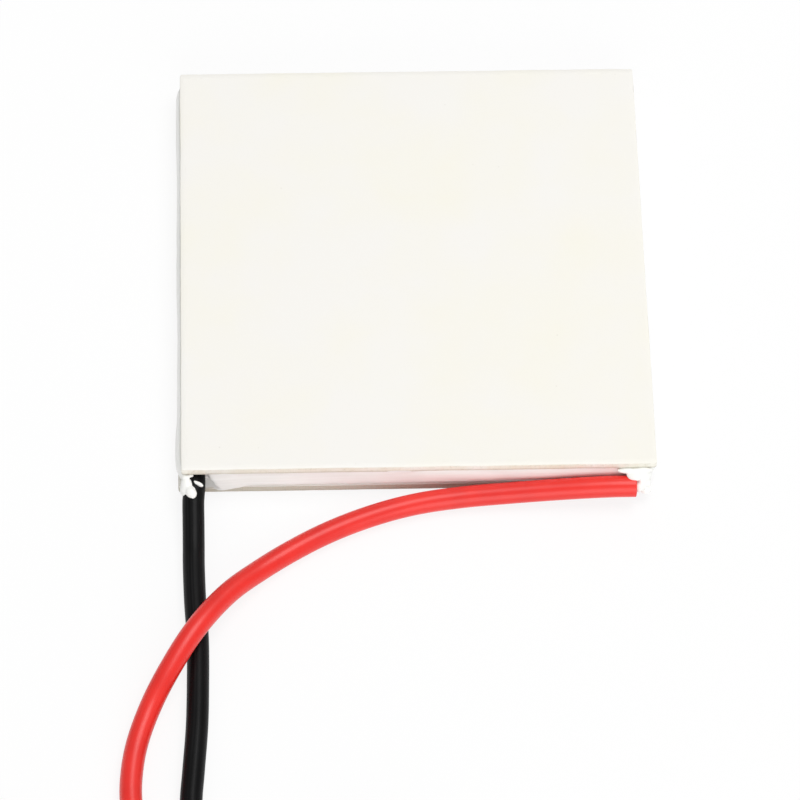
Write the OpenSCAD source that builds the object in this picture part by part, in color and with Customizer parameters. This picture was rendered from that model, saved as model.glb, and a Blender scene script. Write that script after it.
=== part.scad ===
// Single-stage thermoelectric cooling module: two ceramic plates with rows of
// semiconductor couples between them, sealed round the edge, on two wire leads.
// The origin is the middle of the underside, +Z comes out of the cold face and
// the leads leave towards -Y. All sizes are in millimetres.

/* [Plates] */
// Side of the plates along X
plate_w = 40; // [30:1:60]
// Side of the plates along Y
plate_l = 40; // [30:1:60]
// Thickness of each ceramic plate
plate_t = 0.75; // [0.5:0.05:1.5]
// Radius of the upright corners of the plates
plate_corner_r = 0.25; // [0.1:0.05:1]

/* [Couples] */
// Side of each square pellet
pellet_w = 1.4; // [1:0.05:1.6]
// Height of each pellet
pellet_h = 1.6; // [1.2:0.1:2.5]
// Distance between the middles of neighbouring pellets
pellet_pitch = 2.4; // [2.2:0.1:3]
// Thickness of the solder between a pellet and its bridge
solder_t = 0.05; // [0.03:0.01:0.1]
// Thickness of the copper bridges
bridge_t = 0.3; // [0.2:0.05:0.5]
// How far a copper bridge reaches past its pellets
bridge_lip = 0.05; // [0.02:0.01:0.2]
// Cut across each corner of a copper bridge
bridge_cut = 0.15; // [0.05:0.05:0.4]

/* [Edge sealant] */
// Width of the sealant between the plates, measured inwards from its crown
bead_w = 1.2; // [0.8:0.1:2]
// How far the sealant stands out past the left and right sides
bead_over_x = 0.35; // [0.1:0.05:0.6]
// How far the sealant stands out past the front and back sides
bead_over_y = 0.12; // [0.02:0.02:0.3]
// Depth of the round crown along the outside of the sealant
bead_crown = 0.3; // [0.1:0.05:0.5]
// Radius of the sealant's inner corners
bead_inner_r = 0.4; // [0.2:0.1:1]
// Free space between the sealant and the copper
bead_clear = 0.1; // [0.05:0.05:0.5]

/* [Lead joints] */
// How far a conductor leaves the module beside the middle of its pad
lead_offset = 0.9; // [0.4:0.1:1.2]
// How far past the sealant a conductor runs before it turns to its pad
lead_in = 0.1; // [0.05:0.05:0.3]
// How far the conductor lies along its pad
landing_l = 1.5; // [1:0.1:2]
// Radius of the solder mound over a conductor
mound_r = 0.7; // [0.5:0.05:0.75]
// How much of a mound's round is cut off by the pad
mound_sink = 0.45; // [0.2:0.05:0.6]
// How far the round ends of a mound are set in from the ends of the landing
mound_inset = 0.3; // [0.2:0.05:0.5]
// Diameter of the opening in the sealant round a conductor
gate_d = 1.5; // [1.2:0.1:1.8]
// How far the black insulation reaches in between the plates
insulation_in = 0.6; // [0.3:0.1:0.8]
// How far the red insulation stops short of its conductor's gate
red_bend = 0.7; // [0.6:0.1:1.5]
// Radius of the red conductor's bend into its gate
conductor_bend_r = 0.6; // [0.5:0.05:0.7]
// How far the sealant is bored out along a lead
dab_bore_l = 4; // [3:0.5:5]

/* [Leads] */
// Diameter over the insulation
lead_d = 1.85; // [1.3:0.05:2.1]
// Diameter of the stranded conductor
conductor_d = 0.9; // [0.5:0.05:1.1]
// Gap between the red lead and the sealant that it runs beside
lead_clear = 0.05; // [0.02:0.01:0.5]
// Length of the bare tinned ends
tinned_l = 5; // [3:0.5:6]
// Diameter of a coil at the middle of its turns, in lead diameters
coil_ratio = 10.5; // [10:0.5:12]
// Distance from one turn of a coil to the next, in lead diameters
turn_pitch = 1.02; // [1:0.01:1.1]
// Number of turns in the black lead's coil
black_turns = 3.95; // [2:0.05:5]
// Number of turns in the red lead's coil
red_turns = 3.5; // [2:0.05:5]

/* [Hidden] */
$fn = 48;

// Heights of the stack, from the underside up
gap_h = pellet_h + 2 * solder_t + 2 * bridge_t;
hot_face_z = plate_t;
cold_face_z = plate_t + gap_h;
hot_copper_z = hot_face_z + bridge_t;
cold_copper_z = cold_face_z - bridge_t;

// Outer and inner half sizes of the sealant ring
bead_out_x = plate_w / 2 + bead_over_x;
bead_out_y = plate_l / 2 + bead_over_y;
bead_in_x = bead_out_x - bead_w;
bead_in_y = bead_out_y - bead_w;
bead_corner_r = bead_inner_r + bead_w;

// Grid of pellets that fits inside the sealant, with an even count each way
bridge_w = pellet_w + 2 * bridge_lip;
function even_count(half) =
    2 * floor((2 * (half - bead_clear) - bridge_w + pellet_pitch) / (2 * pellet_pitch));
columns = even_count(bead_in_x);
rows = even_count(bead_in_y);
function cell(c, r) = [
    (c - (columns - 1) / 2) * pellet_pitch,
    (r - (rows - 1) / 2) * pellet_pitch
];
// The two front corner cells hold solder pads for the leads in place of pellets
function is_pad(c, r) = r == 0 && (c == 0 || c == columns - 1);
// P-type and N-type pellets lie by turns, as the squares of a draughtboard
function is_p(p) = (p.x + p.y) % 2 == 1;
all_cells = [for (c = [0 : columns - 1], r = [0 : rows - 1]) if (!is_pad(c, r)) [c, r]];

// How far a cutting tool reaches past the face that it opens
cut_past = 1;

// Where the leads join the module
pad_x = cell(columns - 1, 0).x;
pad_front_y = -(bead_in_y - bead_clear);
lead_x = pad_x + lead_offset;
exit_z = hot_face_z + gap_h / 2;
landing_z = hot_copper_z + conductor_d / 2;
landing_y = pad_front_y + conductor_d / 2;
black_exit = [-lead_x, -plate_l / 2 + insulation_in, exit_z];
red_exit = [lead_x - red_bend, -(bead_out_y + lead_d / 2 + lead_clear), exit_z];

// Routes of the leads: how far a point lies from the exit along X and Y, what
// share of the drop from the exit to the surface is left, and by how many
// diameters the lead is lifted over the other one
black_route = [
    [0, 0, 1, 0],
    [0, -1.2, 1, 0],
    [-0.1, -2.4, 0.87, 0],
    [-0.1, -3.8, 0.56, 0],
    [-0.1, -5.2, 0.22, 0],
    [-0.1, -6.6, 0.04, 0],
    [-0.1, -8.2, 0, 0],
    [0, -11.5, 0, 0],
    [0.2, -15, 0, 0],
    [0.2, -19, 0, 0],
    [0.1, -23, 0, 0],
    [-0.2, -27, 0, 0],
    [-0.4, -30, 0, 0],
    [-0.1, -33, 0, 0],
    [0.3, -35.6, 0, 0],
    [0.4, -38, 0, 0]
];
red_route = [
    [0, 0, 1, 0],
    [-1.8, 0, 1, 0],
    [-4.2, 0, 0.85, 0],
    [-7.2, 0, 0.55, 0],
    [-11, -0.1, 0.25, 0],
    [-14.6, -0.3, 0.05, 0],
    [-18.2, -0.8, 0, 0],
    [-21.6, -1.7, 0, 0],
    [-25.2, -3.1, 0, 0],
    [-28.6, -4.9, 0, 0],
    [-31.6, -7, 0, 0.15],
    [-34.4, -9.7, 0, 0.65],
    [-37, -13.2, 0, 1.03],
    [-39.1, -16.5, 0, 0.75],
    [-40.8, -19.6, 0, 0.2],
    [-42, -23.2, 0, 0],
    [-42.4, -27, 0, 0],
    [-42, -30, 0, 0],
    [-41.2, -32.4, 0, 0],
    [-40.7, -34.4, 0, 0],
    [-40.6, -36.4, 0, 0]
];
function on_route(route, exit) = [
    for (p = route) [
        exit.x + p[0],
        exit.y + p[1],
        lead_d / 2 + p[2] * (exit.z - lead_d / 2) + p[3] * lead_d
    ]
];

// Tube with eight sides along a list of points
tube_sides = 8;
function unit(v) = v / norm(v);
function heading(points, i) =
    unit(points[min(i + 1, len(points) - 1)] - points[max(i - 1, 0)]);
function ring_at(points, i, r) =
    let (ahead = heading(points, i))
    let (across = unit(cross(ahead, [0, 0, 1])))
    let (over = cross(across, ahead))
    [
        for (k = [0 : tube_sides - 1])
            let (a = (k + 0.5) * 360 / tube_sides)
            points[i] + r * (cos(a) * across + sin(a) * over)
    ];
function wall_faces(rings) = [
    for (i = [0 : rings - 2], k = [0 : tube_sides - 1])
        let (a = i * tube_sides + k)
        let (b = i * tube_sides + (k + 1) % tube_sides)
        each [[a, b, b + tube_sides], [a, b + tube_sides, a + tube_sides]]
];
module tube(points, d) {
    rings = len(points);
    first = [for (k = [0 : tube_sides - 1]) tube_sides - 1 - k];
    last = [for (k = [0 : tube_sides - 1]) (rings - 1) * tube_sides + k];
    polyhedron(
        points = [for (i = [0 : rings - 1]) each ring_at(points, i, d / 2)],
        faces = concat([first], wall_faces(rings), [last])
    );
}

// Flat spiral coil: the lead comes in straight at [0, 0] towards -Y, meets the
// outer turn and ends by bending in towards the middle
coil_step = turn_pitch * lead_d;
tail_bend_r = 2.2 * lead_d;
tail_turn = 105;
tail_l = 1.6 * lead_d;
function outer_turn_r(turns) = (coil_ratio * lead_d + turns * coil_step) / 2;
function inner_turn_r(turns) = outer_turn_r(turns) - turns * coil_step;
function run_in(turns) = sqrt(2 * outer_turn_r(turns) * lead_d) + lead_d / 4;
function coil_middle(turns) = [outer_turn_r(turns), -run_in(turns)];
function polar(r, a) = r * [cos(a), sin(a)];
// Heading and place of the end of the insulation, inside the coil
function tail_heading(turns) = 270 + 360 * turns + tail_turn;
function tail_end(turns) =
    let (last_angle = 180 + 360 * turns)
    coil_middle(turns) + polar(inner_turn_r(turns) - tail_bend_r, last_angle)
        + polar(tail_bend_r, last_angle + tail_turn);

// Flat shapes and wires
module rounded_plate(w, l, r) {
    square([w - 2 * r, l], center = true);
    square([w, l - 2 * r], center = true);
    for (x = [-1, 1], y = [-1, 1])
        translate([x * (w / 2 - r), y * (l / 2 - r)])
            circle(r);
}
module cut_rectangle(w, l, cut) {
    x = w / 2;
    y = l / 2;
    polygon([
        [cut - x, -y], [x - cut, -y], [x, cut - y], [x, y - cut],
        [x - cut, y], [cut - x, y], [-x, y - cut], [-x, cut - y]
    ]);
}
module wire_piece(a, b, d) {
    run = b - a;
    translate(a)
        rotate([0, acos(run.z / norm(run)), atan2(run.y, run.x)])
            cylinder(h = norm(run), d = d);
}
module octagon_piece(a, b) {
    run = b - a;
    translate(a)
        rotate([0, 90, atan2(run.y, run.x)])
            rotate(180 / tube_sides)
                cylinder(h = norm(run), d = lead_d, $fn = tube_sides);
}

// Plates
module hot_plate() {
    color("#dcd6c4")
        linear_extrude(plate_t)
            rounded_plate(plate_w, plate_l, plate_corner_r);
}
module cold_plate() {
    color("#f6f5ee")
        translate([0, 0, cold_face_z])
            linear_extrude(plate_t)
                rounded_plate(plate_w, plate_l, plate_corner_r);
}

// Copper bridges, each over two neighbouring cells
module bridge(a, b) {
    run = cell(b.x, b.y) - cell(a.x, a.y);
    middle = (cell(a.x, a.y) + cell(b.x, b.y)) / 2;
    translate(middle)
        linear_extrude(bridge_t)
            cut_rectangle(abs(run.x) + bridge_w, abs(run.y) + bridge_w, bridge_cut);
}
module hot_bridges() {
    color("#c4723f")
        translate([0, 0, hot_face_z])
            for (c = [0 : columns - 1], r = [0 : 2 : rows - 2])
                if (!is_pad(c, r))
                    bridge([c, r], [c, r + 1]);
}
module cold_bridges() {
    color("#c4723f")
        translate([0, 0, cold_copper_z]) {
            for (c = [0 : columns - 1], r = [1 : 2 : rows - 3])
                bridge([c, r], [c, r + 1]);
            for (c = [0 : 2 : columns - 2])
                bridge([c, rows - 1], [c + 1, rows - 1]);
            for (c = [1 : 2 : columns - 3])
                bridge([c, 0], [c + 1, 0]);
        }
}
module lead_pad(c) {
    back_y = cell(c, 1).y + bridge_w / 2;
    translate([cell(c, 1).x, (pad_front_y + back_y) / 2, hot_face_z])
        linear_extrude(bridge_t)
            cut_rectangle(bridge_w, back_y - pad_front_y, bridge_cut);
}
module negative_pad() {
    color("#c4723f")
        lead_pad(0);
}
module positive_pad() {
    color("#c4723f")
        lead_pad(columns - 1);
}

// Pellets, of the two kinds by turns, and the solder at their ends
module on_cells(cells, z, h) {
    for (p = cells)
        translate([each cell(p.x, p.y), z])
            translate([-pellet_w / 2, -pellet_w / 2, 0])
                cube([pellet_w, pellet_w, h]);
}
module p_pellets() {
    color("#6f7278")
        on_cells([for (p = all_cells) if (is_p(p)) p], hot_copper_z + solder_t, pellet_h);
}
module n_pellets() {
    color("#8b8e94")
        on_cells([for (p = all_cells) if (!is_p(p)) p], hot_copper_z + solder_t, pellet_h);
}
module hot_solder() {
    color("#c9cbcc")
        on_cells(all_cells, hot_copper_z, solder_t);
}
module cold_solder() {
    color("#c9cbcc")
        on_cells(all_cells, cold_copper_z - solder_t, solder_t);
}

// Sealant ring with a round crown, pierced where the leads go in
module bead_section() {
    r = (pow(gap_h / 2, 2) + pow(bead_crown, 2)) / (2 * bead_crown);
    intersection() {
        translate([-bead_w, 0])
            square([bead_w, gap_h]);
        translate([-r, gap_h / 2])
            circle(r, $fn = 96);
    }
}
module bead_side(out, run) {
    rotate([90, 0, 0])
        linear_extrude(run, center = true)
            translate([out, 0])
                bead_section();
}
module bead_ring() {
    run_x = 2 * (bead_out_x - bead_corner_r);
    run_y = 2 * (bead_out_y - bead_corner_r);
    for (side = [0, 180]) {
        rotate(side)
            bead_side(bead_out_x, run_y);
        rotate(side + 90)
            bead_side(bead_out_y, run_x);
    }
    for (x = [0, 1], y = [0, 1])
        mirror([x, 0, 0])
            mirror([0, y, 0])
                translate([run_x / 2, run_y / 2, 0])
                    rotate_extrude(angle = 90)
                        translate([bead_corner_r, 0])
                            bead_section();
}
module edge_sealant() {
    color("#e6e4df")
        difference() {
            translate([0, 0, hot_face_z])
                bead_ring();
            for (side = [-1, 1])
                wire_piece(
                    [side * lead_x, -bead_out_y - cut_past, exit_z],
                    [side * lead_x, -bead_in_y + cut_past, exit_z],
                    gate_d
                );
            wire_piece(black_exit, black_exit - [0, dab_bore_l, 0], lead_d);
        }
}

// Stripped conductors, from the insulation to their pads
function black_conductor_path() = [
    black_exit,
    [-lead_x, -bead_in_y + lead_in, exit_z],
    [-pad_x, landing_y, landing_z],
    [-pad_x, landing_y + landing_l, landing_z]
];
function red_conductor_path() = [
    red_exit,
    for (a = [0 : 30 : 90])
        [
            lead_x - conductor_bend_r * (1 - sin(a)),
            red_exit.y + conductor_bend_r * (1 - cos(a)),
            exit_z
        ],
    [lead_x, -bead_in_y + lead_in, exit_z],
    [pad_x, landing_y, landing_z],
    [pad_x, landing_y + landing_l, landing_z]
];
module black_conductor() {
    color("#b9a48c")
        tube(black_conductor_path(), conductor_d);
}
module red_conductor() {
    color("#b9a48c")
        tube(red_conductor_path(), conductor_d);
}

// Solder over the landing of each conductor
module solder_mound(side) {
    y_ends = [landing_y + mound_inset, landing_y + landing_l - mound_inset];
    color("#c9cbcc")
        difference() {
            intersection() {
                translate([side * pad_x, 0, hot_copper_z + mound_r - mound_sink]) {
                    for (y = y_ends)
                        translate([0, y, 0])
                            sphere(mound_r);
                    translate([0, y_ends[1], 0])
                        rotate([90, 0, 0])
                            cylinder(h = y_ends[1] - y_ends[0], r = mound_r);
                }
                translate([side * pad_x - bridge_w / 2, pad_front_y, hot_copper_z])
                    cube([bridge_w, landing_l + 2 * mound_r, 2 * mound_r]);
            }
            tube(side < 0 ? black_conductor_path() : red_conductor_path(), conductor_d);
        }
}
module black_solder_mound() {
    solder_mound(-1);
}
module red_solder_mound() {
    solder_mound(1);
}

// Sealant worked round each lead where it comes out. Every lobe is a ball, with
// its place from the middle of the gate at the plates' front and its radius
black_lobes = [
    [-0.6, -0.1, 0.45, 0.5],
    [-0.6, -0.8, -0.2, 0.45],
    [0, -0.8, 0.65, 0.45],
    [-0.35, -1.4, 0.2, 0.4]
];
red_lobes = [
    [-1.9, -0.3, 0.75, 0.35],
    [0.1, -0.5, 0.4, 0.7],
    [0.1, -0.8, -0.4, 0.6],
    [-0.5, -1, 0.4, 0.6]
];
module dab(side, lobes) {
    difference() {
        hull()
            for (lobe = lobes)
                translate([side * lead_x + lobe[0], -plate_l / 2 + lobe[1], exit_z + lobe[2]])
                    sphere(lobe[3], $fn = 20);
        translate([side * lead_x - dab_bore_l, -bead_out_y, 0])
            cube([2 * dab_bore_l, bead_w, cold_face_z + plate_t]);
    }
}
module black_sealant_dab() {
    color("#f2f2f0")
        difference() {
            dab(-1, black_lobes);
            octagon_piece(black_exit, black_exit - [0, dab_bore_l, 0]);
        }
}
module red_sealant_dab() {
    color("#f2f2f0")
        difference() {
            dab(1, red_lobes);
            octagon_piece(red_exit, red_exit - [dab_bore_l, 0, 0]);
        }
}

// Insulated leads: the run to the coil, the coil and the bare end
module lead_coil(turns) {
    outer_r = outer_turn_r(turns);
    inner_r = inner_turn_r(turns);
    middle = coil_middle(turns);
    ahead = polar(1, tail_heading(turns));
    tail_start = tail_end(turns) - tail_l * ahead;
    difference() {
        union() {
            translate(middle)
                rotate_extrude($fn = 96)
                    translate([inner_r - lead_d / 2, 0])
                        coil_section(outer_r - inner_r + lead_d);
            octagon_piece([0, 0, lead_d / 2], [0, middle.y, lead_d / 2]);
            octagon_piece([each tail_start, lead_d / 2], [each tail_end(turns), lead_d / 2]);
        }
        tinned_wire(turns);
    }
}
module coil_section(w) {
    cut = lead_d / 4;
    polygon([
        [cut, 0], [w - cut, 0], [w, cut], [w, lead_d - cut],
        [w - cut, lead_d], [cut, lead_d], [0, lead_d - cut], [0, cut]
    ]);
}
module tinned_wire(turns) {
    start = tail_end(turns);
    stop = start + tinned_l * polar(1, tail_heading(turns));
    wire_piece([start.x, start.y, lead_d / 2], [stop.x, stop.y, lead_d / 2], conductor_d);
}
module at_route_end(route, exit) {
    points = on_route(route, exit);
    stop = points[len(points) - 1];
    translate([stop.x, stop.y, 0])
        children();
}
module black_lead() {
    color("#1d1d1f")
        tube(on_route(black_route, black_exit), lead_d);
}
module red_lead() {
    color("#d8231f")
        tube(on_route(red_route, red_exit), lead_d);
}
module black_lead_coil() {
    color("#1d1d1f")
        at_route_end(black_route, black_exit)
            lead_coil(black_turns);
}
module red_lead_coil() {
    color("#d8231f")
        at_route_end(red_route, red_exit)
            mirror([1, 0, 0])
                lead_coil(red_turns);
}
module black_tinned_end() {
    color("#c9cbcc")
        at_route_end(black_route, black_exit)
            tinned_wire(black_turns);
}
module red_tinned_end() {
    color("#c9cbcc")
        at_route_end(red_route, red_exit)
            mirror([1, 0, 0])
                tinned_wire(red_turns);
}

hot_plate();
cold_plate();
hot_bridges();
cold_bridges();
negative_pad();
positive_pad();
p_pellets();
n_pellets();
hot_solder();
cold_solder();
edge_sealant();
black_conductor();
red_conductor();
black_solder_mound();
red_solder_mound();
black_sealant_dab();
red_sealant_dab();
black_lead();
red_lead();
black_lead_coil();
red_lead_coil();
black_tinned_end();
red_tinned_end();
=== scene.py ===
import math

import bmesh
import bpy
from mathutils import Matrix, Vector, noise


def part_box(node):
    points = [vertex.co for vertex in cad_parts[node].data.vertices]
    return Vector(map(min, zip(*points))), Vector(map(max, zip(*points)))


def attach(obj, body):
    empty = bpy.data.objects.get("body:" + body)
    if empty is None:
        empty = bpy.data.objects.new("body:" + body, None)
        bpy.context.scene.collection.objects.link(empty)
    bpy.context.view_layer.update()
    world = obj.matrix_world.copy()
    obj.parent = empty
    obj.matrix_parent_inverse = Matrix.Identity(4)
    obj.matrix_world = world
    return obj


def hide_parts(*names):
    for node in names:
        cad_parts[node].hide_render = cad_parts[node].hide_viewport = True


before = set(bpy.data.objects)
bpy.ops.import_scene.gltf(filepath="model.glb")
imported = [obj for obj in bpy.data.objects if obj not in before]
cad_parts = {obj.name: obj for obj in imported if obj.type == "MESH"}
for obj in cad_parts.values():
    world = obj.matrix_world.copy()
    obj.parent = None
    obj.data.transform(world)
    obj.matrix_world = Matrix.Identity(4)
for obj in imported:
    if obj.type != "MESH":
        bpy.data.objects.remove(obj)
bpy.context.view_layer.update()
mm = 0.001
print("frame loaded, CAD nodes:", len(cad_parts))


# Camera
cameraPlace = {
    "eye": (-0.01204, -0.20377, 0.33422),
    "target": (-0.00134, -0.01129, 0.0),
    "roll": 1.902,  # degrees, anticlockwise seen from behind the camera
    "fieldOfView": 10.132,
    "clip": (0.01, 10.0),
}


def makeCamera(place):
    eye, target = Vector(place["eye"]), Vector(place["target"])
    forward = (target - eye).normalized()
    level = forward.cross(Vector((0, 0, 1))).normalized()
    upright = level.cross(forward)
    turn = math.radians(place["roll"])
    right = math.cos(turn) * level + math.sin(turn) * upright
    up = math.cos(turn) * upright - math.sin(turn) * level
    bpy.ops.object.camera_add(location=eye)
    camera = bpy.context.object
    camera.name = "camera"
    camera.matrix_world = Matrix.Translation(eye) @ Matrix((right, up, -forward)).transposed().to_4x4()
    camera.data.angle = math.radians(place["fieldOfView"])
    camera.data.clip_start, camera.data.clip_end = place["clip"]
    bpy.context.scene.camera = camera


makeCamera(cameraPlace)
print("camera placed")


# Selecting and shaping
def workOn(piece):
    bpy.ops.object.select_all(action="DESELECT")
    piece.select_set(True)
    bpy.context.view_layer.objects.active = piece


def editShape(piece, mode="FACE"):
    workOn(piece)
    bpy.ops.object.mode_set(mode="EDIT")
    bpy.ops.mesh.select_mode(type=mode)


def endEdit():
    bpy.ops.object.mode_set(mode="OBJECT")


def pick(piece, kind, test):
    # in edit mode, selects just the faces, edges or verts that pass the test
    shape = bmesh.from_edit_mesh(piece.data)
    bpy.ops.mesh.select_all(action="DESELECT")
    for item in getattr(shape, kind):
        if test(item):
            item.select_set(True)
    bmesh.update_edit_mesh(piece.data)


def middleOf(edge):
    return (edge.verts[0].co + edge.verts[1].co) / 2


def runOf(edge):
    return edge.verts[1].co - edge.verts[0].co


def moveVertices(piece, rule):
    for vertex in piece.data.vertices:
        vertex.co = rule(vertex.co.copy())
    piece.data.update()


def addModifier(piece, kind, **settings):
    workOn(piece)
    modifier = piece.modifiers.new(kind.lower(), kind)
    for name, value in settings.items():
        setattr(modifier, name, value)
    bpy.ops.object.modifier_apply(modifier=modifier.name)


def settle(piece, name, angle=40):
    # the finished piece has its place in its mesh, faces outwards and smooth curves
    workOn(piece)
    bpy.ops.object.transform_apply(location=True, rotation=True, scale=True)
    editShape(piece)
    bpy.ops.mesh.select_all(action="SELECT")
    bpy.ops.mesh.normals_make_consistent(inside=False)
    endEdit()
    bpy.ops.object.shade_smooth_by_angle(angle=math.radians(angle))
    piece.name = piece.data.name = name
    return piece


# Materials
def tint(red, green, blue):
    # a colour on the screen's scale of 0 to 255, as the renderer's linear one
    def linear(value):
        share = value / 255
        return share / 12.92 if share < 0.04045 else ((share + 0.055) / 1.055) ** 2.4

    return linear(red), linear(green), linear(blue), 1.0


class Wire:
    def __init__(self, finish, socket):
        self.finish = finish
        self.socket = socket

    def __add__(self, other):
        return self.finish.maths("ADD", self, other)

    def __radd__(self, other):
        return self.finish.maths("ADD", other, self)

    def __sub__(self, other):
        return self.finish.maths("SUBTRACT", self, other)

    def __rsub__(self, other):
        return self.finish.maths("SUBTRACT", other, self)

    def __mul__(self, other):
        return self.finish.maths("MULTIPLY", self, other)

    def __rmul__(self, other):
        return self.finish.maths("MULTIPLY", other, self)


class Finish:
    def __init__(self, name, constants):
        self.material = bpy.data.materials.new(name)
        self.material.use_nodes = True
        self.tree = self.material.node_tree
        self.shader = self.tree.nodes["Principled BSDF"]
        for socket, value in constants.items():
            self.shader.inputs[socket].default_value = value

    def add(self, kind, settings, sockets, out=0):
        node = self.tree.nodes.new(kind)
        for name, value in settings.items():
            if name == "stops":
                self.setStops(node.color_ramp, value)
            else:
                setattr(node, name, value)
        for key, value in sockets.items():
            if isinstance(value, Wire):
                self.tree.links.new(value.socket, node.inputs[key])
            else:
                node.inputs[key].default_value = value
        return Wire(self, node.outputs[out])

    def setStops(self, ramp, stops):
        while len(ramp.elements) < len(stops):
            ramp.elements.new(1.0)
        for element, (place, value) in zip(ramp.elements, stops):
            element.position = place
            element.color = value if isinstance(value, tuple) else (value, value, value, 1.0)

    def maths(self, operation, first, second=0.0, third=0.0, clamp=False):
        settings = {"operation": operation, "use_clamp": clamp}
        return self.add("ShaderNodeMath", settings, {0: first, 1: second, 2: third})

    def place(self, scale=(1, 1, 1), turn=(0, 0, 0)):
        # where a point lies on the piece, stretched and turned
        coordinates = self.add("ShaderNodeTexCoord", {}, {}, "Object")
        return self.add("ShaderNodeMapping", {}, {"Vector": coordinates, "Scale": scale, "Rotation": turn})

    def alongPiece(self, scale):
        # round and along a lead, from its own UV map
        coordinates = self.add("ShaderNodeTexCoord", {}, {}, "UV")
        return self.add("ShaderNodeMapping", {}, {"Vector": coordinates, "Scale": scale})

    def axes(self, vector):
        parts = self.add("ShaderNodeSeparateXYZ", {}, {"Vector": vector})
        return parts, Wire(self, parts.socket.node.outputs[1]), Wire(self, parts.socket.node.outputs[2])

    def grain(self, vector, scale, detail=3.0, roughness=0.5):
        sockets = {"Vector": vector, "Scale": scale, "Detail": detail, "Roughness": roughness}
        return self.add("ShaderNodeTexNoise", {}, sockets)

    def spots(self, vector, scale):
        return self.add("ShaderNodeTexVoronoi", {}, {"Vector": vector, "Scale": scale})

    def ramp(self, value, stops):
        return self.add("ShaderNodeValToRGB", {"stops": stops}, {"Fac": value})

    def blend(self, first, second, share):
        settings = {"data_type": "RGBA"}
        return self.add("ShaderNodeMix", settings, {0: share, 6: first, 7: second}, 2)

    def bump(self, height, distance, strength=1.0, under=None):
        sockets = {"Height": height, "Distance": distance, "Strength": strength}
        if under:
            sockets["Normal"] = under
        return self.add("ShaderNodeBump", {}, sockets)

    def feed(self, socket, value):
        self.tree.links.new(value.socket, self.shader.inputs[socket])


def coat(piece, *finishes):
    piece.data.materials.clear()
    for finish in finishes:
        piece.data.materials.append(finish.material)


# Leads: each starts at its exit, follows its route and ends in a flat coil.
# A route's point is how far it lies from the exit along X and Y in metres, the
# share of the drop that is left, and how many diameters it is lifted
leadSizes = {
    "diameter": 0.00185,
    "conductor": 0.0009,
    "sides": 18,
    "ring": 0.0006,  # length between two rings of the tube
    "realLength": 0.3,
    "tinned": 0.005,
    "coilRatio": 10.5,
    "turnPitch": 1.02,
    "tailBend": 2.2,
    "tailTurn": 105,
}
blackLead = {
    "exit": (-0.0189, -0.0194, 0.0019),
    "turns": 3.95,
    "side": 1,
    "route": [
        (0, 0, 1, 0), (0, -0.0012, 1, 0), (-0.0001, -0.0024, 0.87, 0), (-0.0001, -0.0038, 0.56, 0),
        (-0.0001, -0.0052, 0.22, 0), (-0.0001, -0.0066, 0.04, 0), (-0.0001, -0.0082, 0, 0),
        (0, -0.0115, 0, 0), (0.0002, -0.015, 0, 0), (0.0002, -0.019, 0, 0), (0.0001, -0.023, 0, 0),
        (-0.0002, -0.027, 0, 0), (-0.0004, -0.03, 0, 0), (-0.0001, -0.033, 0, 0),
        (0.0003, -0.0356, 0, 0), (0.0004, -0.038, 0, 0),
    ],
}
redLead = {
    "exit": (0.0182, -0.021095, 0.0019),
    "turns": 3.5,
    "side": -1,
    "route": [
        (0, 0, 1, 0), (-0.0018, 0, 1, 0), (-0.0042, 0, 0.85, 0), (-0.0072, 0, 0.55, 0),
        (-0.011, -0.0001, 0.25, 0), (-0.0146, -0.0003, 0.05, 0), (-0.0182, -0.0008, 0, 0),
        (-0.0216, -0.0017, 0, 0), (-0.0252, -0.0031, 0, 0), (-0.0286, -0.0049, 0, 0),
        (-0.0316, -0.007, 0, 0.15), (-0.0344, -0.0097, 0, 0.65), (-0.037, -0.0132, 0, 1.03),
        (-0.0391, -0.0165, 0, 0.75), (-0.0408, -0.0196, 0, 0.2), (-0.042, -0.0232, 0, 0),
        (-0.0424, -0.027, 0, 0), (-0.042, -0.03, 0, 0), (-0.0412, -0.0324, 0, 0),
        (-0.0407, -0.0344, 0, 0), (-0.0406, -0.0364, 0, 0),
    ],
}


def smoothLine(points, step, floor):
    # an even curve through the points that never dips under the surface
    line = []
    ends = [2 * points[0] - points[1], *points, 2 * points[-1] - points[-2]]
    for before, start, stop, after in zip(ends, ends[1:], ends[2:], ends[3:]):
        cuts = max(1, round((stop - start).length / step))
        for cut in range(cuts):
            t = cut / cuts
            point = (
                (2 * t**3 - 3 * t**2 + 1) * start
                + (t**3 - 2 * t**2 + t) * (stop - before) / 2
                + (3 * t**2 - 2 * t**3) * stop
                + (t**3 - t**2) * (after - start) / 2
            )
            point.z = max(point.z, floor)
            line.append(point)
    return line


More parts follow.
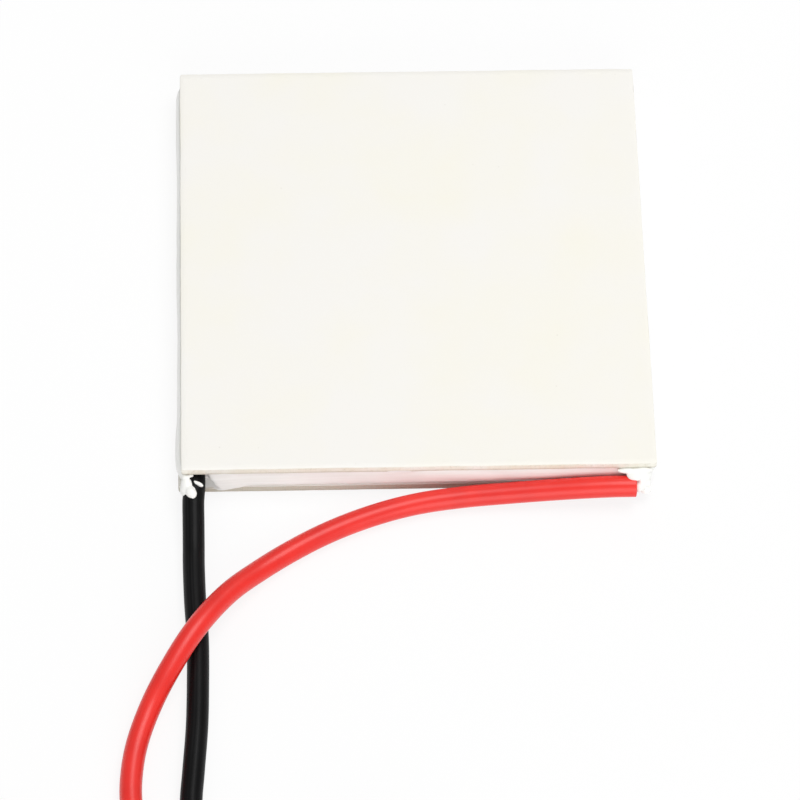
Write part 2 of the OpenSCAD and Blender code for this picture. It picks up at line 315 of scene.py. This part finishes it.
def leadCentreline(lead, sizes):
    wide, step = sizes["diameter"], sizes["ring"]
    exitPoint = Vector(lead["exit"])
    points = [
        exitPoint + Vector((dx, dy, wide / 2 + share * (exitPoint.z - wide / 2) + lift * wide - exitPoint.z))
        for dx, dy, share, lift in lead["route"]
    ]
    pitch = sizes["turnPitch"] * wide
    outerR = (sizes["coilRatio"] * wide + lead["turns"] * pitch) / 2
    runIn = math.sqrt(2 * outerR * wide) + wide / 4
    points.append(points[-1] + Vector((0, -runIn, 0)))
    line = smoothLine(points, step, wide / 2)
    start = points[-1]
    coilMiddle = start + Vector((lead["side"] * outerR, 0, 0))
    turned = 0.0
    while turned < 2 * math.pi * lead["turns"]:
        radius = outerR - pitch * turned / (2 * math.pi)
        line.append(coilMiddle + radius * Vector((-lead["side"] * math.cos(turned), -math.sin(turned), 0)))
        turned += step / radius
    last = 2 * math.pi * lead["turns"]
    bend, inner = sizes["tailBend"] * wide, outerR - pitch * lead["turns"]
    inwards = Vector((-lead["side"] * math.cos(last), -math.sin(last), 0))
    hub = coilMiddle + (inner - bend) * inwards
    for cut in range(9):
        angle = last + math.radians(sizes["tailTurn"]) * cut / 8
        line.append(hub + bend * Vector((-lead["side"] * math.cos(angle), -math.sin(angle), 0)))
    return line


def makeTube(points, radius, sides):
    curve = bpy.data.curves.new("tube", "CURVE")
    curve.dimensions = "3D"
    curve.twist_mode = "Z_UP"
    curve.bevel_mode = "ROUND"
    curve.bevel_depth = radius
    curve.bevel_resolution = sides // 2 - 2
    spline = curve.splines.new("POLY")
    spline.points.add(len(points) - 1)
    for knot, point in zip(spline.points, points):
        knot.co = (*point, 1)
    tube = bpy.data.objects.new("tube", curve)
    bpy.context.collection.objects.link(tube)
    workOn(tube)
    bpy.ops.object.convert(target="MESH")
    return bpy.context.object


def cutEnds(tube, ends, wall, depth):
    # closes both ends of the insulation with a cut face that has a socket for the strands
    editShape(tube, "EDGE")
    pick(tube, "edges", lambda edge: edge.is_boundary)
    bpy.ops.mesh.edge_face_add()
    for place, inwards in ends:
        bpy.ops.mesh.select_mode(type="FACE")
        pick(tube, "faces", lambda face: len(face.verts) > 4 and (face.calc_center_median() - place).length < wall)
        bpy.ops.mesh.inset(thickness=wall * 0.12)
        bpy.ops.transform.translate(value=-inwards * wall * 0.12)
        bpy.ops.mesh.inset(thickness=wall * 0.88)
        bpy.ops.mesh.extrude_region_move(TRANSFORM_OT_translate={"value": inwards * depth})
    endEdit()


def makeLead(name, lead, sizes):
    line = leadCentreline(lead, sizes)
    tube = makeTube(line, sizes["diameter"] / 2, sizes["sides"])
    wall = (sizes["diameter"] - sizes["conductor"]) / 2
    ends = [(line[0], (line[1] - line[0]).normalized()), (line[-1], (line[-2] - line[-1]).normalized())]
    cutEnds(tube, ends, wall, 0.4 * mm)
    return settle(tube, name), line


blackCord, blackLine = makeLead("blackLead", blackLead, leadSizes)
redCord, redLine = makeLead("redLead", redLead, leadSizes)


# Strands of a conductor, laid round a middle one and run together with solder
strandSizes = {"thickness": 0.0003, "lay": 0.007, "round": 6, "voxel": 0.00005, "step": 0.0002, "sides": 10}


def strandPaths(line, sizes):
    paths = [list(line)]
    for strand in range(sizes["round"]):
        path, travelled = [], 0.0
        for here, point in enumerate(line):
            ahead = (line[min(here + 1, len(line) - 1)] - line[max(here - 1, 0)]).normalized()
            across = ahead.cross(Vector((0, 0, 1))).normalized()
            over = across.cross(ahead)
            if here:
                travelled += (point - line[here - 1]).length
            angle = 2 * math.pi * (strand / sizes["round"] + travelled / sizes["lay"])
            path.append(point + sizes["thickness"] * (math.cos(angle) * across + math.sin(angle) * over))
        paths.append(path)
    return paths


def makeStrands(name, line, sizes):
    curve = bpy.data.curves.new(name, "CURVE")
    curve.dimensions = "3D"
    curve.bevel_depth = sizes["thickness"] / 2 * 1.04
    curve.bevel_resolution = sizes["sides"] // 2 - 2
    curve.use_fill_caps = True
    for path in strandPaths(line, sizes):
        spline = curve.splines.new("POLY")
        spline.points.add(len(path) - 1)
        for knot, point in zip(spline.points, path):
            knot.co = (*point, 1)
    strands = bpy.data.objects.new(name, curve)
    bpy.context.collection.objects.link(strands)
    workOn(strands)
    bpy.ops.object.convert(target="MESH")
    strands = bpy.context.object
    addModifier(strands, "REMESH", mode="VOXEL", voxel_size=sizes["voxel"])
    addModifier(strands, "SMOOTH", factor=0.5, iterations=3)
    return settle(strands, name, 60)


def straightLine(start, direction, length, step):
    cuts = round(length / step)
    return [start + direction * length * cut / cuts for cut in range(cuts + 1)]


def makeTip(name, line, sizes, strandSizes):
    direction = (line[-1] - line[-2]).normalized()
    root = line[-1] - direction * 0.35 * mm  # the strands start inside the insulation's socket
    return makeStrands(name, straightLine(root, direction, sizes["tinned"] + 0.3 * mm, strandSizes["step"]), strandSizes)


blackTip = makeTip("blackTinnedEnd", blackLine, leadSizes, strandSizes)
redTip = makeTip("redTinnedEnd", redLine, leadSizes, strandSizes)

for cord, tip, lead, node in ((blackCord, blackTip, blackLead, "black"), (redCord, redTip, redLead, "red")):
    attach(cord, "root")
    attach(tip, "root")
    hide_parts(node + "_lead", node + "_lead_coil")
    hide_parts(node + "_tinned_end")
    node + "_insulation"
print("leads laid")


# Insulation and strands
def insulationFinish(name, body, sheenStreak, deep, streak, shine):
    finish = Finish(name, {"Specular IOR Level": 0.5 * shine, "Coat Weight": 0.5 * shine, "Coat Roughness": 0.3})
    streaks = finish.grain(finish.alongPiece((7, 34, 1)), 1.0, 4.0, 0.55)
    cloud = finish.grain(finish.place(), 260, 2.0)
    scuff = finish.grain(finish.place(), 2600, 3.0)
    # the pale streaks are partly painted highlight: pale bands along the lead stand in for its soft reflections, over
    # a streaky texture
    colour = finish.blend(body, sheenStreak, finish.ramp(streaks, [(0.5, 0.0), (0.8, streak)]))
    colour = finish.blend(colour, deep, finish.ramp(cloud, [(0.35, 0.0), (0.7, 0.5)]))
    finish.feed("Base Color", colour)
    finish.feed("Roughness", 0.36 + 0.14 * streaks)
    finish.feed("Normal", finish.bump(0.5 * streaks + 0.5 * scuff, 0.00002))
    return finish


# the third colour of each insulation is the painted highlight of its streaks
blackInsulation = insulationFinish("blackInsulation", tint(13, 13, 14), tint(48, 48, 49), tint(4, 4, 5), 0.6, 0.16)
redInsulation = insulationFinish("redInsulation", tint(241, 38, 27), tint(248, 70, 56), tint(216, 22, 16), 0.45, 0.8)


def tinnedFinish():
    finish = Finish("tinnedStrand", {"Metallic": 1.0})
    cloud = finish.grain(finish.place(), 1800, 3.0)
    finish.feed("Base Color", finish.blend(tint(206, 206, 204), tint(150, 148, 144), cloud))
    finish.feed("Roughness", 0.22 + 0.25 * cloud)
    finish.feed("Normal", finish.bump(cloud, 0.00002))
    return finish


tinnedStrand = tinnedFinish()
coat(blackCord, blackInsulation)
coat(redCord, redInsulation)
coat(blackTip, tinnedStrand)
coat(redTip, tinnedStrand)


# Ceramic plates: cut along a scribed line and snapped, so their sides wander a little
plateLook = {
    "cells": 80,
    "cornerRadius": 0.00025,
    "edgeBreak": 0.00004,
    "wander": 0.00003,
    "rough": 0.000015,
    "chipFrom": 0.52,
    "chip": 0.0004,
    "scribed": 0.3,  # share of the thickness that the cutting line goes in
    "ledge": 0.00002,
}


def isRim(edge):
    return len(edge.link_faces) == 2 and edge.calc_face_angle() > 1.2 and abs(runOf(edge).z) < 0.01 * mm


def sideways(point, halfX, halfY):
    # which way out the nearest side faces, and how far inside it the point lies
    gapX, gapY = halfX - abs(point.x), halfY - abs(point.y)
    if gapX < gapY:
        return Vector((math.copysign(1, point.x), 0, 0)), gapX
    return Vector((0, math.copysign(1, point.y), 0)), gapY


def snapSides(plate, look, low, high, seed):
    halfX, halfY = high.x, high.y
    line = low.z + (high.z - low.z) * (1 - look["scribed"])

    def rule(point):
        out, inside = sideways(point, halfX, halfY)
        if inside > look["cornerRadius"]:
            return point
        wander = noise.noise(Vector((point.x / (5 * mm), point.y / (5 * mm), seed)))
        rough = noise.noise(Vector((point.x / (0.9 * mm), point.y / (0.9 * mm), seed + point.z / (0.4 * mm))))
        chip = noise.noise(Vector((point.x / (1.3 * mm), point.y / (1.3 * mm), seed + 9)))
        shift = look["wander"] * (wander - 0.5) + look["rough"] * (rough - 0.5)
        if high.z - point.z < look["edgeBreak"] * 1.5:
            shift -= look["chip"] * max(0.0, chip - look["chipFrom"])
        if point.z > line:
            shift -= look["ledge"]
        return point + out * shift

    moveVertices(plate, rule)


def makePlate(name, node, look, seed, shift=0.0):
    low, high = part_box(node)
    low, high = Vector(low), Vector(high)
    size, thick = high - low, high.z - low.z
    bpy.ops.object.select_all(action="DESELECT")
    bpy.ops.mesh.primitive_grid_add(x_subdivisions=look["cells"], y_subdivisions=look["cells"], size=1)
    plate = bpy.context.object
    plate.location = ((low.x + high.x) / 2, (low.y + high.y) / 2, high.z)
    plate.scale = (size.x, size.y, 1)
    bpy.ops.object.transform_apply(location=True, rotation=True, scale=True)
    editShape(plate)
    bpy.ops.mesh.select_all(action="SELECT")
    bpy.ops.mesh.extrude_region_move(TRANSFORM_OT_translate={"value": (0, 0, -thick)})
    bpy.ops.mesh.select_all(action="SELECT")
    bpy.ops.mesh.normals_make_consistent(inside=False)
    bpy.ops.mesh.select_mode(type="EDGE")
    pick(
        plate, "edges",
        lambda edge: abs(runOf(edge).z) > thick / 2 and edge.is_manifold and edge.calc_face_angle() > 1.2,
    )
    bpy.ops.mesh.bevel(offset=look["cornerRadius"], segments=3, affect="EDGES")
    for share in (0.35, 1 - look["scribed"]):
        bpy.ops.mesh.select_mode(type="FACE")
        pick(plate, "faces", lambda face: abs(face.normal.z) < 0.5)
        bpy.ops.mesh.bisect(plane_co=(0, 0, low.z + share * thick), plane_no=(0, 0, 1))
    bpy.ops.mesh.select_mode(type="EDGE")
    pick(plate, "edges", isRim)
    bpy.ops.mesh.bevel(offset=look["edgeBreak"], segments=2, affect="EDGES")
    endEdit()
    snapSides(plate, look, low, high, seed)
    plate.location.x = shift
    settle(plate, name, 30)
    editShape(plate)
    plate.data.materials.append(None)
    plate.data.materials.append(None)
    pick(plate, "faces", lambda face: abs(face.normal.z) < 0.9)
    plate.active_material_index = 1
    bpy.ops.object.material_slot_assign()
    endEdit()
    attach(plate, "root")
    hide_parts(node)
    return plate


coldPlate = makePlate("coldPlate", "cold_plate", plateLook, 3.0)
hotPlate = makePlate("hotPlate", "hot_plate", plateLook, 17.0, -0.0003)  # pressed on a little to the left
print("plates snapped")


# Sealant between the plates, run in by hand all the way round
sealantLook = {
    "width": 0.0012,
    "cornerRadius": 0.0016,
    "crown": 0.0003,
    "tuck": 0.00006,  # how far it reaches up behind the plates' edges
    "columns": 110,
    "rows": (0.03, 0.1, 0.2, 0.33, 0.5, 0.67, 0.8, 0.9, 0.97),
    "bulge": 0.00009,
    "ripple": 0.00003,
    "streak": 0.000025,
    "film": 0.00003,  # thickness of what is smeared over a plate's edge
    "smearFrom": 0.42,
    "smear": 0.0011,
    "leftBulge": 0.00012,  # how far the left side swells close to the front corner
    "rightDraw": 0.00022,  # how much further in the right side lies, under the shifted plates
    "pocketDepth": 0.0009,
    "swell": 0.00038,  # how far the sealant stands out over the hot plate, right of that pocket
    "pocketTop": -0.018,  # where the pocket beside the black lead ends, at its top and its foot
    "pocketFoot": -0.01695,
}


def ramped(value, start, stop):
    share = min(max((value - start) / (stop - start), 0.0), 1.0)
    return share * share * (3 - 2 * share)


def outFrom(point, halfX, halfY, radius):
    # the way out of a rectangle with round corners
    overX, overY = abs(point.x) - (halfX - radius), abs(point.y) - (halfY - radius)
    if overX > 0 and overY > 0:
        return Vector((math.copysign(overX, point.x), math.copysign(overY, point.y), 0)).normalized()
    if overX > overY:
        return Vector((math.copysign(1, point.x), 0, 0))
    return Vector((0, math.copysign(1, point.y), 0))


def runSealant(ring, look, low, high, plates):
    plateX, plateY = plates
    for vertex in ring.data.vertices:
        point = vertex.co.copy()
        out = outFrom(point, high.x, high.y, look["cornerRadius"])
        corner = Vector((math.copysign(high.x, point.x), math.copysign(high.y, point.y), 0))
        inset = (abs(corner.x) - abs(point.x)) if abs(out.x) > 0.99 else (abs(corner.y) - abs(point.y))
        if 0.01 < abs(out.x) < 0.99:
            hub = corner - look["cornerRadius"] * Vector((math.copysign(1, point.x), math.copysign(1, point.y), 0))
            inset = look["cornerRadius"] - (Vector((point.x, point.y, 0)) - hub).length
        if inset > look["width"] / 2:
            continue
        level = (point.z - low.z) / (high.z - low.z)
        place = Vector((point.x / (6 * mm), point.y / (6 * mm), 0))
        push = -look["crown"] * (2 * min(max(level, 0), 1) - 1) ** 2
        push += look["bulge"] * noise.noise(place + Vector((0, 0, level * 0.8))) * (1 - (2 * level - 1) ** 2 * 0.5)
        push += look["ripple"] * noise.noise(place * 3.7 + Vector((0, 0, level * 2 + 5)))
        push += look["streak"] * noise.noise(Vector((point.x / (9 * mm), point.y / (9 * mm), level * 7 + 31)))
        lineX = look["pocketFoot"] + (look["pocketTop"] - look["pocketFoot"]) * level
        if point.y < 0 and abs(out.y) > 0.9:
            pocket = ramped(lineX - point.x, 0.0, 0.18 * mm) * ramped(point.x, -high.x + 0.3 * mm, -high.x + 0.6 * mm)
            push -= look["pocketDepth"] * pocket
            swell = (1 - pocket) * ramped(-point.x, 14 * mm, 16.8 * mm) * (1 - 0.85 * level)
            push += look["swell"] * swell
        if out.x > 0:
            push -= look["rightDraw"] * out.x
        else:
            swell = ramped(-point.y, 13 * mm, 16.5 * mm) * ramped(point.y, -19.5 * mm, -17.5 * mm)
            push -= look["leftBulge"] * swell * out.x
        smear = noise.noise(place * 1.3 + Vector((0, 0, 50 + 9 * round(level)))) - look["smearFrom"]
        if smear > 0 and (level > 0.95 or level < 0.05):
            edge = abs(Vector((plateX * out.x, plateY * out.y, 0)).length) + look["film"]
            crown = Vector((high.x * out.x, high.y * out.y, 0)).length
            if 0.01 > abs(out.x) or abs(out.x) > 0.99:
                push = max(push, edge - crown)
                point.z += math.copysign(look["smear"] * smear * (1 if abs(level - 0.5) > 0.5 else 0.5), level - 0.5)
        vertex.co = point + out * push
    ring.data.update()


def makeSealant(name, look):
    low, high = (Vector(corner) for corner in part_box("edge_sealant"))
    plateHigh = Vector(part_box("cold_plate")[1])
    size = high - low
    bpy.ops.object.select_all(action="DESELECT")
    bpy.ops.mesh.primitive_cube_add(size=1, location=(low + high) / 2)
    ring = bpy.context.object
    ring.scale = (size.x, size.y, size.z + 2 * look["tuck"])
    bpy.ops.object.transform_apply(location=True, rotation=True, scale=True)
    editShape(ring, "EDGE")
    pick(ring, "edges", lambda edge: abs(runOf(edge).z) > size.z / 2)
    bpy.ops.mesh.bevel(offset=look["cornerRadius"], segments=8, affect="EDGES")
    bpy.ops.mesh.select_mode(type="FACE")
    pick(ring, "faces", lambda face: abs(face.normal.z) > 0.9)
    bpy.ops.mesh.inset(thickness=look["width"])
    bpy.ops.mesh.delete(type="FACE")
    bpy.ops.mesh.select_mode(type="EDGE")
    pick(ring, "edges", lambda edge: edge.is_boundary)
    bpy.ops.mesh.bridge_edge_loops()
    pick(ring, "edges", lambda edge: runOf(edge).length > size.x / 2)
    bpy.ops.mesh.subdivide(number_cuts=look["columns"])
    bpy.ops.mesh.select_mode(type="FACE")
    for level in look["rows"]:
        pick(ring, "faces", lambda face: abs(face.normal.z) < 0.1 and facesOut(face))
        bpy.ops.mesh.bisect(plane_co=(0, 0, low.z + level * size.z), plane_no=(0, 0, 1))
    endEdit()
    runSealant(ring, look, low, high, (plateHigh.x, plateHigh.y))
    addModifier(ring, "SUBSURF", levels=1, render_levels=1)
    settle(ring, name, 60)
    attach(ring, "root")
    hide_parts("edge_sealant")
    return ring


def facesOut(face):
    middle = face.calc_center_median()
    return middle.x * face.normal.x + middle.y * face.normal.y > 0


edgeSealant = makeSealant("edgeSealant", sealantLook)
print("sealant run in")


# Dabs of sealant over the places where the leads go in. A lobe is its middle,
# its three radii and its turn about Z in degrees, in millimetres
dabLook = {"voxel": 0.00005, "smooth": 6, "lump": 0.00004}
blackLobes = [
    ((-19.55, -20.5, 2.4), (0.5, 0.5, 0.62), 0),
    ((-19.62, -20.95, 2.25), (0.5, 0.62, 0.62), 0),
    ((-19.2, -21.3, 2.55), (0.48, 0.8, 0.42), 20),
    ((-19.5, -20.75, 2.68), (0.48, 0.5, 0.3), 0),
    ((-19.85, -20.5, 1.5), (0.2, 0.4, 0.8), 0),
    ((-19.6, -20.12, 2.9), (0.36, 0.24, 0.2), 0),
    ((-19.22, -20.04, 2.98), (0.3, 0.16, 0.1), 0),
    ((-18.54, -20.69, 2.74), (0.5, 0.19, 0.2), -35),
    ((-19.62, -19.75, 1.9), (0.3, 0.5, 1.05), 0),
]
redLobes = [
    ((17.6, -20.2, 2.98), (1.0, 0.26, 0.2), -5),
    ((18.7, -20.18, 3.0), (1.0, 0.28, 0.24), 0),
    ((18.05, -20.6, 2.76), (0.66, 0.44, 0.3), -20),
    ((18.7, -20.4, 2.3), (0.75, 0.5, 0.75), -5),
    ((19.15, -20.25, 1.7), (0.44, 0.42, 1.1), 0),
    ((19.35, -20.15, 2.2), (0.26, 0.3, 0.9), 0),
    ((18.72, -20.9, 1.95), (0.44, 0.5, 0.62), 0),
    ((18.48, -21.1, 1.9), (0.34, 0.5, 0.5), 0),
    ((19.0, -21.05, 1.3), (0.55, 0.4, 0.26), -30),
    ((19.38, -20.75, 1.3), (0.2, 0.55, 0.5), 10),
    ((19.15, -20.65, 1.8), (0.4, 0.5, 0.5), 0),
    ((19.3, -19.75, 1.9), (0.36, 0.5, 1.1), 0),
]


def makeDab(name, lobes, look, lead, node, seed):
    balls = []
    for middle, radii, turn in lobes:
        bpy.ops.object.select_all(action="DESELECT")
        bpy.ops.mesh.primitive_ico_sphere_add(subdivisions=4, radius=mm, location=Vector(middle) * mm)
        ball = bpy.context.object
        ball.scale = radii
        ball.rotation_euler = (0, 0, math.radians(turn))
        balls.append(ball)
    for ball in balls:
        ball.select_set(True)
    bpy.ops.object.join()
    dab = bpy.context.object
    bpy.ops.object.transform_apply(location=True, rotation=True, scale=True)
    addModifier(dab, "REMESH", mode="VOXEL", voxel_size=look["voxel"])
    addModifier(dab, "SMOOTH", factor=0.5, iterations=look["smooth"])
    workOn(dab)
    moveVertices(
        dab,
        lambda point: point + look["lump"] * noise.noise_vector(point / (0.45 * mm) + Vector((0, 0, seed))),
    )
    addModifier(dab, "BOOLEAN", operation="DIFFERENCE", solver="EXACT", object=lead)
    settle(dab, name, 70)
    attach(dab, "root")
    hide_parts(node)
    return dab


blackDab = makeDab("blackSealantDab", blackLobes, dabLook, blackCord, "black_sealant_dab", 2.0)
redDab = makeDab("redSealantDab", redLobes, dabLook, redCord, "red_sealant_dab", 8.0)
print("dabs set")


# Ceramic and sealant
def ceramicFaceFinish():
    finish = Finish("ceramicFace", {"Specular IOR Level": 0.4})
    cloud = finish.grain(finish.place(), 120, 3.0)
    fine = finish.grain(finish.place(), 5200, 3.0, 0.6)
    lapped = finish.grain(finish.place((1, 14, 1), (0, 0, 0.4)), 700, 3.0, 0.6)
    specks = finish.ramp(finish.spots(finish.place(), 420), [(0.0, 1.0), (0.035, 0.0)])
    colour = finish.blend(tint(247, 245, 240), tint(248, 245, 231), finish.ramp(cloud, [(0.4, 0.0), (0.75, 0.7)]))
    colour = finish.blend(colour, tint(206, 202, 190), specks * 0.5)
    finish.feed("Base Color", colour)
    finish.feed("Roughness", 0.42 + 0.16 * fine + 0.08 * lapped)
    finish.feed("Normal", finish.bump(0.6 * fine + 0.4 * lapped, 0.000008))
    return finish


def ceramicEdgeFinish(look):
    finish = Finish("ceramicEdge", {"Roughness": 0.7, "Specular IOR Level": 0.3})
    coordinates = finish.place()
    acrossX, acrossY, height = finish.axes(coordinates)
    pits = finish.maths("SINE", (acrossX + acrossY) * (2 * math.pi / (0.14 * mm)))
    rough = finish.grain(coordinates, 2600, 4.0, 0.6)
    cloud = finish.grain(finish.place((1, 1, 0.3)), 300, 3.0)
    colour = finish.blend(tint(251, 250, 243), tint(242, 238, 220), finish.ramp(cloud, [(0.35, 0.0), (0.65, 1.0)]))
    colour = finish.blend(colour, tint(214, 209, 190), finish.ramp(rough, [(0.52, 0.0), (0.75, 0.5)]))
    # painted shade: the edge colour darkens below about 3.4 mm height, so the upper plate's edge darkens towards the
    # sealant under it and the lower plate's edge is darkened all over
    jointShade = finish.ramp(height * 1000 - 3.05 + 0.12 * (cloud - 0.5), [(0.0, 0.75), (0.32, 0.0)])
    colour = finish.blend(colour, tint(192, 186, 170), jointShade)
    finish.feed("Base Color", colour)
    finish.feed("Normal", finish.bump(0.25 * pits + rough, 0.00003))
    return finish


def sealantFinish():
    finish = Finish("sealantWhite", {"Specular IOR Level": 0.5, "Coat Weight": 0.25, "Coat Roughness": 0.2})
    cloud = finish.grain(finish.place(), 300, 3.0)
    streaks = finish.grain(finish.place((0.12, 0.12, 4)), 900, 4.0, 0.6)
    colour = finish.blend(tint(250, 251, 248), tint(240, 240, 235), finish.ramp(streaks, [(0.4, 0.0), (0.7, 0.8)]))
    colour = finish.blend(colour, tint(252, 252, 249), finish.ramp(cloud, [(0.45, 0.0), (0.7, 0.8)]))
    finish.feed("Base Color", colour)
    finish.feed("Roughness", 0.3 + 0.2 * cloud)
    finish.feed("Normal", finish.bump(streaks + 0.3 * cloud, 0.00002))
    return finish


# Inside the module: copper, pellets and solder
def innerFinish(name, light, dark, metallic, roughness, scale):
    finish = Finish(name, {"Metallic": metallic})
    cloud = finish.grain(finish.place(), scale, 4.0)
    finish.feed("Base Color", finish.blend(light, dark, finish.ramp(cloud, [(0.35, 0.0), (0.7, 1.0)])))
    finish.feed("Roughness", roughness - 0.08 + 0.16 * cloud)
    finish.feed("Normal", finish.bump(cloud, 0.00001))
    return finish


innerFinishes = {
    "copper": innerFinish("bridgeCopper", tint(214, 138, 104), tint(176, 98, 66), 1.0, 0.32, 1600),
    "pAlloy": innerFinish("pelletP", tint(128, 130, 136), tint(92, 94, 100), 0.9, 0.4, 2400),
    "nAlloy": innerFinish("pelletN", tint(150, 152, 156), tint(112, 114, 118), 0.9, 0.36, 2400),
    "solder": innerFinish("solder", tint(204, 205, 206), tint(160, 160, 158), 1.0, 0.3, 1900),
    "strand": innerFinish("bareStrand", tint(206, 196, 184), tint(170, 150, 130), 1.0, 0.3, 2200),
}
innerNodes = {
    "hot_bridges": "copper", "cold_bridges": "copper", "negative_pad": "copper", "positive_pad": "copper",
    "p_pellets": "pAlloy", "n_pellets": "nAlloy", "hot_solder": "solder", "cold_solder": "solder",
    "black_solder_mound": "solder", "red_solder_mound": "solder",
    "black_conductor": "strand", "red_conductor": "strand",
}
for node, kind in innerNodes.items():
    coat(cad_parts[node], innerFinishes[kind])
print("inside finished")

ceramicFace = ceramicFaceFinish()
ceramicEdge = ceramicEdgeFinish(plateLook)
sealantWhite = sealantFinish()
for plate in (coldPlate, hotPlate):
    plate.data.materials[0] = ceramicFace.material
    plate.data.materials[1] = ceramicEdge.material
for soft in (edgeSealant, blackDab, redDab):
    coat(soft, sealantWhite)


# Floor, backdrop and light
studio = {
    "floor": 3.0,
    "floorColour": tint(251, 251, 251),
    "shadowShare": 0.15,  # how much of the floor's own shading the camera sees
    "sky": 0.47,
    "keyPower": 4.1,
    "keySize": 0.6,
    "keyPlace": (0.22, 0.12, 0.9),
    "fillPower": 3.7,
    "fillSize": 0.8,
    "fillPlace": (0.1, -0.9, 0.35),
}


def makeFloor(studio):
    bpy.ops.object.select_all(action="DESELECT")
    bpy.ops.mesh.primitive_plane_add(size=studio["floor"])
    floor = bpy.context.object
    floor.name = "floor"
    finish = Finish("floorWhite", {"Base Color": studio["floorColour"], "Roughness": 0.9})
    paths = finish.add("ShaderNodeLightPath", {}, {}, "Is Camera Ray")
    node = paths.socket.node
    seen = finish.maths("MAXIMUM", paths, Wire(finish, node.outputs["Is Glossy Ray"]))
    seen = finish.maths("MAXIMUM", seen, Wire(finish, node.outputs["Is Transmission Ray"]))
    white = finish.add("ShaderNodeEmission", {}, {"Color": (1, 1, 1, 1), "Strength": 1.0})
    share = seen * (1 - studio["shadowShare"])
    mixed = finish.add("ShaderNodeMixShader", {}, {0: share, 1: Wire(finish, finish.shader.outputs[0]), 2: white})
    finish.tree.links.new(mixed.socket, finish.tree.nodes["Material Output"].inputs["Surface"])
    floor.data.materials.append(finish.material)


def makeSky(studio):
    world = bpy.data.worlds.new("sky")
    bpy.context.scene.world = world
    world.use_nodes = True
    nodes, links = world.node_tree.nodes, world.node_tree.links
    lit, seen = nodes["Background"], nodes.new("ShaderNodeBackground")
    for background, strength in ((lit, studio["sky"]), (seen, 1.0)):
        background.inputs["Color"].default_value = (1, 1, 1, 1)
        background.inputs["Strength"].default_value = strength
    paths = nodes.new("ShaderNodeLightPath")
    mixed = nodes.new("ShaderNodeMixShader")
    links.new(paths.outputs["Is Camera Ray"], mixed.inputs[0])
    links.new(lit.outputs[0], mixed.inputs[1])
    links.new(seen.outputs[0], mixed.inputs[2])
    links.new(mixed.outputs[0], nodes["World Output"].inputs["Surface"])


def makeLamp(name, place, aim, size, power):
    bpy.ops.object.select_all(action="DESELECT")
    bpy.ops.object.light_add(type="AREA", location=place)
    lamp = bpy.context.object
    lamp.name = name
    lamp.rotation_euler = (Vector(aim) - Vector(place)).to_track_quat("-Z", "Y").to_euler()
    lamp.data.shape = "DISK"
    lamp.data.size = size
    lamp.data.energy = power


makeFloor(studio)
makeSky(studio)
makeLamp("keyLight", studio["keyPlace"], (0, 0, 0), studio["keySize"], studio["keyPower"])
makeLamp("fillLight", studio["fillPlace"], (0, 0, 0), studio["fillSize"], studio["fillPower"])
bpy.context.scene.view_settings.view_transform = "Standard"
print("studio lit")
